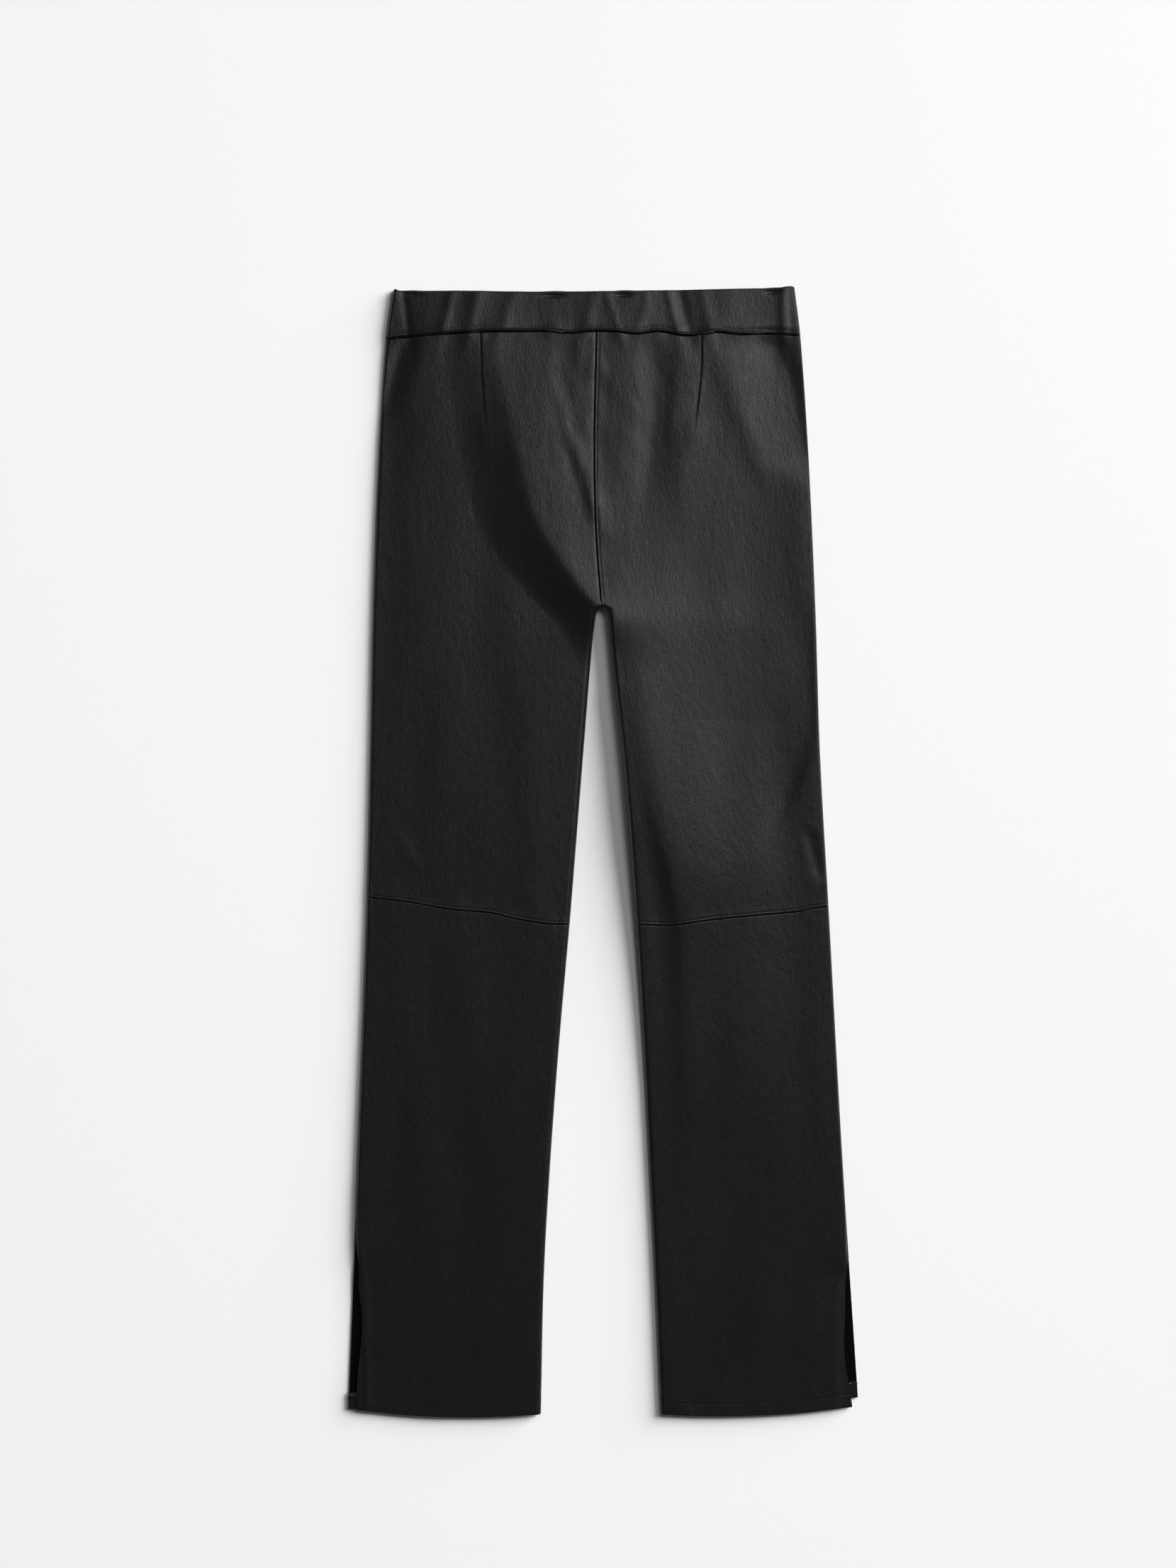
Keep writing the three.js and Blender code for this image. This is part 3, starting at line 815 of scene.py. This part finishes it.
def shinPoints(leg, face):
    # rows follow the knee seam above and the hem below, and the hem turns up inside at the end
    fold = cut["leather"] + cut["seamGap"] / 2  # radius of the turned hem
    top, bottom = shinCut["top"], shinCut["bottom"]
    closeTo = [top, bottom + cut["hemRow"], bottom]
    start, stop = top + cut["tuckReach"], bottom + fold
    base = stations(start, stop, shinCut["step"][face], *shinCut["closeRows"], closeTo)[:, None]

    def heights(t):
        atKnee = smoothStep(base, top - shinCut["kneeReach"], top)
        atHem = 1 - smoothStep(base, bottom, bottom + shinCut["hemReach"])
        return base + (leg["kneeAt"](t) - top) * atKnee + (hemAt(leg, face, t) - bottom) * atHem

    width = shinCut["width"]
    columns = stations(0, width, shinCut["across"][face], *shinCut["closeColumns"], [0, width])
    outside = layAcross(leg, face, "shin", heights, columns[1:-1] / width)
    normal = normalsOf(outside, face)
    turn = turnedEdge(outside[-1], normal[-1], fold, -1)
    turnedUp = base[:, 0] < bottom + fold + cut["hemTurn"]
    inside = (outside - 2 * fold * normal)[turnedUp][::-1]
    return np.concatenate([outside, turn, inside])


def makePanel(legName, face, part, pointsOf):
    leg = outline[legName]
    points = pointsOf(leg, face)
    name = f"{faceName[face]}{legName.capitalize()}{part.capitalize()}"
    faces = gridFaces(*points.shape[:2], leg["side"] * face > 0)
    piece = meshFrom(name, toFrame(points.reshape(-1, 3)), faces, [leather, fleshSidePaintedShade, cutEdge])
    thicken(piece)
    # flat, it is as wide and long as it lies, plus room for its curves and, on a shin, the turned-up hem
    size = [float(np.ptp(points[..., i])) * mm + cut["curveRoom"] for i in (0, 1)]
    if part == "shin":
        size[1] += cut["hemTurn"] * mm
    finishSheet(piece, f"{faceName[face]}_{legName}_{part}")
    return piece


for legName in outline:
    for part, pointsOf in (("thigh", thighPoints), ("shin", shinPoints)):
        under = makePanel(legName, front, part, pointsOf)
        makePanel(legName, back, part, pointsOf)


bandCut = {
    "ends": (-188, 174),  # x of its two ends, about
    "span": (-180, 170),  # x between the rounds of its two ends, about
    "flat": (0.388, 0.044),  # metres long and deep, with its gathers pulled flat
    "bulge": 0.8,
    "fullness": [  # how far the elastic swells the leather along the seam, as (x, share of the bulge)
        (-194, 0.6), (-160, 0.6), (-138, 1.5), (-112, 0.6), (-82, 1.6), (-62, 0.5), (-41, 1.9),
        (-20, 0.5), (14, 1.4), (40, 0.5), (72, 1.4), (86, 0.6), (103, 1.6), (120, 0.8), (140, 1.5),
        (160, 0.4), (180, 0.8),
    ],
    "bulgeReach": 9,  # how far up from the seam
    "taper": 0.6,  # share of the bulge that falls evenly from the seam to the top
    "proud": 0.3,
    "stitchDepth": 0.55,
    "stitchPlace": (2.3, 0.85, 2.4),  # the sunk line's height above the seam, its reach below and above
    "foot": (0.4, 0.25),  # depth and reach of the rounded lower edge
    "puckers": (0.5, 4),  # share of a seam's puckers, and the height above the seam where they are strongest
    "rows": 30,
    "across": {back: 1.3, front: 3},
    "closeRows": (0.01, 0.1),  # spacing at the lower edge and the top, and its reach, in shares of the depth
}
fullnessAt = smoothLine(bandCut["fullness"])


def bandHeight(face, x, y):
    # the skin of either leg, raised by the elastic: fullness times exp(-(up / reach)^1.5) and an even fall to
    # the top, less exp(-(d / reach)^2) for the rounded lower edge and the sunk stitch line above it, and
    # falling to nothing over the round of each end
    left, right = outline["left"], outline["right"]
    skin = np.where(x < 0, skinHeight(left, face, "band", x, y), skinHeight(right, face, "band", x, y))
    if face == front:
        return skin
    up = y - bandSeamAt(x) - cut["seamGap"]
    share = np.clip(up / (bandTopAt(x) - cut["bandWall"] / 2 - bandSeamAt(x)), 0, 1)
    swell = fullnessAt(x) * np.exp(-((np.maximum(up, 0) / bandCut["bulgeReach"]) ** 1.5))
    bulge = bandCut["bulge"] * (swell + bandCut["taper"] * (1 - share))
    stitchUp, stitchBelow, stitchAbove = bandCut["stitchPlace"]
    stitched = np.exp(-(((up - stitchUp) / np.where(up < stitchUp, stitchBelow, stitchAbove)) ** 2))
    footDepth, footReach = bandCut["foot"]
    puckerShare, puckerUp = bandCut["puckers"]
    lift = bandCut["proud"] + bulge - bandCut["stitchDepth"] * stitched
    lift = lift - footDepth * np.exp(-((up / footReach) ** 2))
    lift = lift + puckerShare * puckers("bandFoot", x, up - puckerUp)
    full = np.minimum(x - left["outerAt"](y), right["outerAt"](y) - x) / cut["outerRound"]
    full = np.clip(full, 0, 1)
    return skin + lift * np.sqrt(1 - (1 - full) ** 2)


def makeBand(face):
    # a closed wall: the outer skin from the seam up, a half circle over the top, and the inner side back down
    wall = cut["bandWall"]
    left, right = outline["left"]["outerAt"], outline["right"]["outerAt"]
    rounds = cut["outerRound"] * (1 - np.cos(rightAngle * edgeShares))
    n = len(rounds)
    spanStart, spanEnd = bandCut["span"]
    span = np.linspace(0, 1, int((spanEnd - spanStart) / bandCut["across"][face]))[1:-1]
    leftEnd, rightEnd = [np.full(n, float(end)) for end in bandCut["ends"]]
    guess = np.concatenate([leftEnd, spanStart + (spanEnd - spanStart) * span, rightEnd])
    low, high = bandSeamAt(guess) + cut["seamGap"], bandTopAt(guess) - wall / 2
    y = low + (high - low) * stations(0, 1, 1 / bandCut["rows"], *bandCut["closeRows"], [0, 1])[:, None]
    start, stop = left(y[:, n:-n]) + cut["outerRound"], right(y[:, n:-n]) - cut["outerRound"]
    outer, inner = left(y[:, :n]) + rounds, right(y[:, -n:]) - rounds[::-1]
    x = np.concatenate([outer, start + (stop - start) * span, inner], axis=1)
    outside = np.stack([x, y, bandHeight(face, x, y)], axis=-1)
    normal = normalsOf(outside, face)
    inside = outside - normal * wall
    over = turnedEdge(outside[-1], normal[-1], wall / 2, 1)
    ring = np.concatenate([outside, over, inside[::-1]])
    rows, columns = ring.shape[:2]
    # the lower edge and the two ends are closed between matching rows
    at = np.arange(rows * columns).reshape(rows, columns)
    lowerEdge = np.stack([at[-1, :-1], at[0, :-1], at[0, 1:], at[-1, 1:]], axis=1)
    faces = [gridFaces(rows, columns, False), lowerEdge]
    for column, turn in ((0, 1), (columns - 1, -1)):
        low, high = at[: rows // 2, column], at[::-1][: rows // 2, column]
        faces.append(np.stack([low[:-1], high[:-1], high[1:], low[1:]], axis=1)[:, ::turn])
    faces = np.concatenate(faces)[:, :: -face]
    name = f"waistband{faceName[face].capitalize()}"
    piece = meshFrom(name, toFrame(ring.reshape(-1, 3)), faces, [leather])
    finishSheet(piece, f"waistband_{faceName[face]}")
    print(f"{name}: {len(piece.data.polygons)} faces")


makeBand(front)
makeBand(back)


stitchCut = {
    "pitch": 2.1,
    "length": 1.5,
    "radius": 0.2,
    "seam": 1.9,  # from a seam to its row of stitches
    "edge": 2.5,  # from an outline to the end of a row
    "lift": {back: 0.08, front: -0.3},  # off the leather; the front's are sunk, to stay above the table
    "levels": {"knee": -274, "hem": -720},  # the heights at which the ends of these rows are taken
    "hemPitch": 1.3,  # how much longer the hem's pitch is
    "centre": (251, 5),  # the heights between which the centre seam's row runs
    "band": (-194, 179),  # and x between which the band's row runs
}


def surfaceAt(face, heightOf, x, y):
    # points on a surface, moved by the lift along its normal, and that normal, from heights a step each way
    step = 0.4
    slopeX = (heightOf(x + step, y) - heightOf(x - step, y)) / (2 * step)
    slopeY = (heightOf(x, y + step) - heightOf(x, y - step)) / (2 * step)
    normal = np.stack([-slopeX, -slopeY, np.ones_like(slopeX)], axis=-1)
    normal *= face / np.linalg.norm(normal, axis=-1, keepdims=True)
    return np.stack([x, y, heightOf(x, y)], axis=-1) + normal * stitchCut["lift"][face], normal


def makeStitches(name, points, normals, material):
    # one small rounded bead of thread for each stitch, all in one mesh: six-sided rings along it, smaller and
    # sunk towards its ends
    along = np.gradient(points, axis=0)
    along /= np.linalg.norm(along, axis=-1, keepdims=True)
    sideways = np.cross(normals, along)
    ringPlace = np.array([-1, -0.85, -0.4, 0.4, 0.85, 1])
    ringSize = np.array([0.25, 0.75, 1, 1, 0.75, 0.25])
    sink = np.array([-0.9, -0.45, 0, 0, -0.45, -0.9])
    turn = np.linspace(0, 2 * np.pi, 7)[:-1]
    half, radius = stitchCut["length"] / 2, stitchCut["radius"]
    centre = points[:, None, None] + half * ringPlace[:, None, None] * along[:, None, None]
    rise = radius * (ringSize[:, None] * np.sin(turn) + sink[:, None])
    wide = radius * ringSize[:, None] * np.cos(turn)
    bead = centre + rise[..., None] * normals[:, None, None] + wide[..., None] * sideways[:, None, None]
    count, rings, sides = bead.shape[:3]
    at = np.arange(count * rings * sides).reshape(count, rings, sides)
    a, b = at[:, :-1], at[:, 1:]
    quads = np.stack([a, np.roll(a, -1, 2), np.roll(b, -1, 2), b], axis=-1).reshape(-1, 4)
    first, last = at[:, 0][:, [[3, 2, 1, 0], [0, 5, 4, 3]]], at[:, -1][:, [[0, 1, 2, 3], [3, 4, 5, 0]]]
    quads = np.concatenate([quads, first.reshape(-1, 4), last.reshape(-1, 4)])
    piece = meshFrom(name, toFrame(bead.reshape(-1, 3)), quads, [material])
    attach(piece, "root")
    print(f"{name}: {count} stitches")


def sew(name, face, heightOf, x, y):
    makeStitches(f"{name}{faceName[face].capitalize()}", *surfaceAt(face, heightOf, x, y), thread)


def skinOf(leg, face, part):
    return lambda x, y: skinHeight(leg, face, part, x, y)


def rowAcross(outer, inner, pitch):
    # even places from one edge of a leg to the other, clear of both
    low, high = sorted([float(outer), float(inner)])
    return np.arange(low + stitchCut["edge"], high - stitchCut["edge"], pitch)


pitch, besideSeam = stitchCut["pitch"], stitchCut["seam"]
for face in (front, back):
    for legName, leg in outline.items():
        level = stitchCut["levels"]["knee"]
        x = rowAcross(leg["outerAt"](level), leg["innerAt"](level), pitch)
        y = leg["kneeAt"](shareAcross(leg, x, level)) + besideSeam
        sew(f"{legName}KneeStitches", face, skinOf(leg, face, "thigh"), x, y)
        level = stitchCut["levels"]["hem"]
        inset = leg["slitInsetAt"](level) if face == back else 0
        outer = leg["outerAt"](level) - leg["side"] * inset
        x = rowAcross(outer, leg["innerAt"](level), pitch * stitchCut["hemPitch"])
        y = hemAt(leg, face, shareAcross(leg, x, shinCut["bottom"] + cut["hemRow"])) + cut["hemRow"]
        sew(f"{legName}HemStitches", face, skinOf(leg, face, "shin"), x, y)
    y = np.arange(*stitchCut["centre"], -pitch)
    sew("centreStitches", face, skinOf(outline["right"], face, "thigh"), centreSeamAt(y) + besideSeam, y)
    x = np.arange(*stitchCut["band"], pitch)
    sew("bandStitches", face, lambda x, y: bandHeight(face, x, y), x, bandSeamAt(x) + besideSeam)

# loose ends that show on the turned-up front hems beside the slits
threadEnds = {
    "places": {"left": np.linspace(-231, -224, 4), "right": np.array([224.2, 226.4])},
    "up": 13,  # from the hem
    "share": 0.02,  # where across the leg the hem's height is taken
    "lift": 0.1,  # off the turned-up hem
}
for legName, x in threadEnds["places"].items():
    y = outline[legName]["frontHemAt"](threadEnds["share"]) + threadEnds["up"] + 0 * x
    z = 2 * cut["leather"] + cut["seamGap"] + threadEnds["lift"] + 0 * x
    upwards = np.tile([0, 0, 1.0], (len(x), 1))
    makeStitches(f"{legName}ThreadEnd", np.stack([x, y, z], axis=-1), upwards, looseThread)


studio = {
    "floor": (0.86, 0.86, 0.865, 1),
    "floorRoughness": 0.9,
    "floorSpecular": 0.1,
    "floorHalf": 40,  # metres from its middle to its sides
    "floorBelow": 0.0002,  # how far it lies under the trousers
    "world": 0.075,
    "key": {"place": (1.5, 1.15, 2.8), "size": 1.2, "power": 24.5},
    "low": {"towards": (0.88, 0.47), "elevation": 17, "softness": 42, "strength": 8.8},  # angles in degrees
    "lens": 100,
    "sensor": 36,
    "farthest": 200,  # metres that the camera sees
    "frameHeight": 1.431,  # metres that the picture shows from top to bottom
    "aim": (-0.0139, 0.0621),
}

floorMesh = bpy.data.meshes.new("floor")
half, depth = studio["floorHalf"], -studio["floorBelow"]
corners = [(x * half, y * half, depth) for x, y in ((-1, -1), (1, -1), (1, 1), (-1, 1))]
floorMesh.from_pydata(corners, [], [(0, 1, 2, 3)])
floor = bpy.data.objects.new("floor", floorMesh)
bpy.context.scene.collection.objects.link(floor)
floorMaterial, _, _, floorShader = newMaterial("paleFloor")
floorShader.inputs["Base Color"].default_value = studio["floor"]
floorShader.inputs["Roughness"].default_value = studio["floorRoughness"]
floorShader.inputs["Specular IOR Level"].default_value = studio["floorSpecular"]
floorMesh.materials.append(floorMaterial)

world = bpy.data.worlds.new("studio")
world.use_nodes = True
background = world.node_tree.nodes["Background"]
background.inputs["Color"].default_value = (1, 1, 1, 1)
background.inputs["Strength"].default_value = studio["world"]
bpy.context.scene.world = world


def addLamp(light, place, glossy=True):
    # a lamp turned so that it shines at the middle of the floor
    lamp = bpy.data.objects.new(light.name, light)
    lamp.location = place
    lamp.rotation_euler = (-lamp.location).to_track_quat("-Z", "Y").to_euler()
    lamp.visible_glossy = glossy
    bpy.context.scene.collection.objects.link(lamp)


keyLight = bpy.data.lights.new("keyLight", "AREA")
keyLight.size = studio["key"]["size"]
keyLight.energy = studio["key"]["power"]
addLamp(keyLight, studio["key"]["place"])
lowLight = bpy.data.lights.new("lowLight", "SUN")
lowLight.angle = np.radians(studio["low"]["softness"])
lowLight.energy = studio["low"]["strength"]
lowRise = np.tan(np.radians(studio["low"]["elevation"]))
addLamp(lowLight, (*studio["low"]["towards"], lowRise), glossy=False)

camera = bpy.data.cameras.new("camera")
camera.lens = studio["lens"]
camera.sensor_width = studio["sensor"]
camera.clip_end = studio["farthest"]
eye = bpy.data.objects.new("camera", camera)
eye.location = (*studio["aim"], studio["frameHeight"] * studio["lens"] / camera.sensor_width)
bpy.context.scene.collection.objects.link(eye)
bpy.context.scene.camera = eye
bpy.context.scene.view_settings.view_transform = "Standard"
print("studio made")
